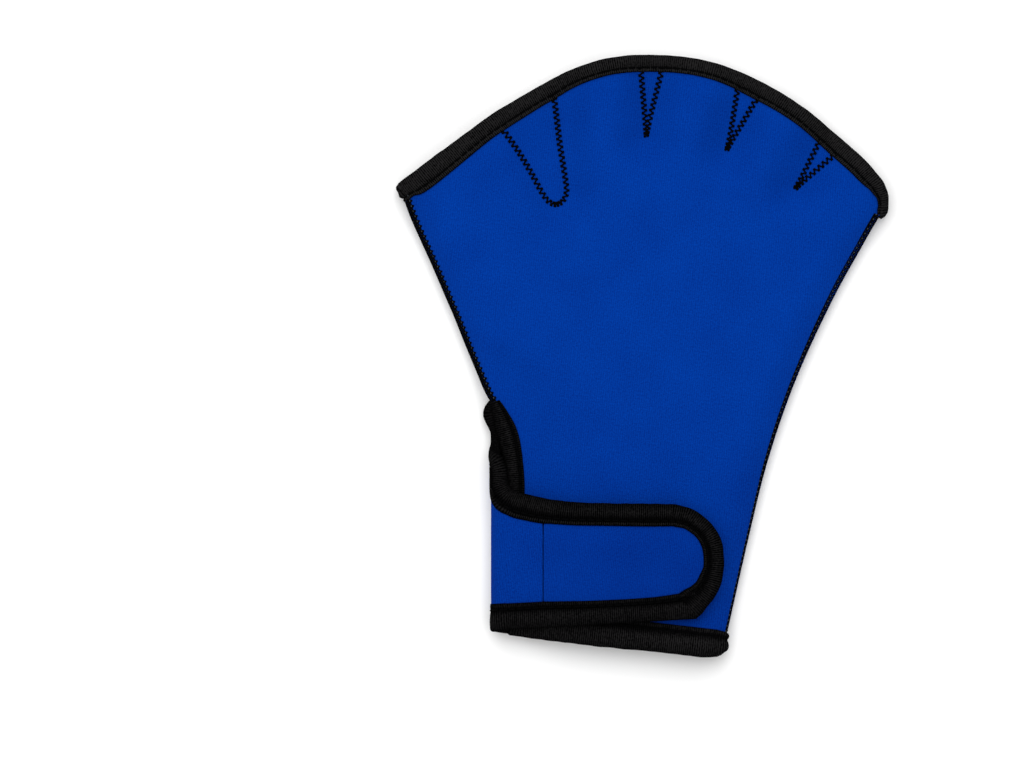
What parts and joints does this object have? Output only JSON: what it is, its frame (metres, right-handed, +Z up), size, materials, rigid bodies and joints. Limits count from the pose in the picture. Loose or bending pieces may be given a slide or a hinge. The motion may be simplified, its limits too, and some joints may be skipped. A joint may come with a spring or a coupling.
{
  "type": "webbed swim glove",
  "caption": "Webbed neoprene swim glove for the right hand, fingertips open, darts as webs, tape-bound edges and a wrist strap that closes over the back of the hand",
  "frame": {"origin": "middle of the glove's box, on the surface that it lies on", "axes": "+Y from the wrist to the fingers, +Z up out of the back of the hand, -X towards the thumb"},
  "size_m": [0.1836, 0.222, 0.017],
  "materials": {
    "blue_jersey": "blue nylon jersey over foam, matt with a fine knit",
    "strap_jersey": "blue nylon jersey over foam, a little darker",
    "binding_tape": "black elastic tape with fine cross ribs",
    "hook_tape": "black hook tape"
  },
  "bodies": {
    "root": {"palm_panel": "blue_jersey", "back_panel": "blue_jersey", "closure_strap": "strap_jersey", "hook_pad": "hook_tape", "finger_binding": "binding_tape", "strap_binding": "binding_tape", "wrist_binding": "binding_tape"}
  },
  "joints": []
}
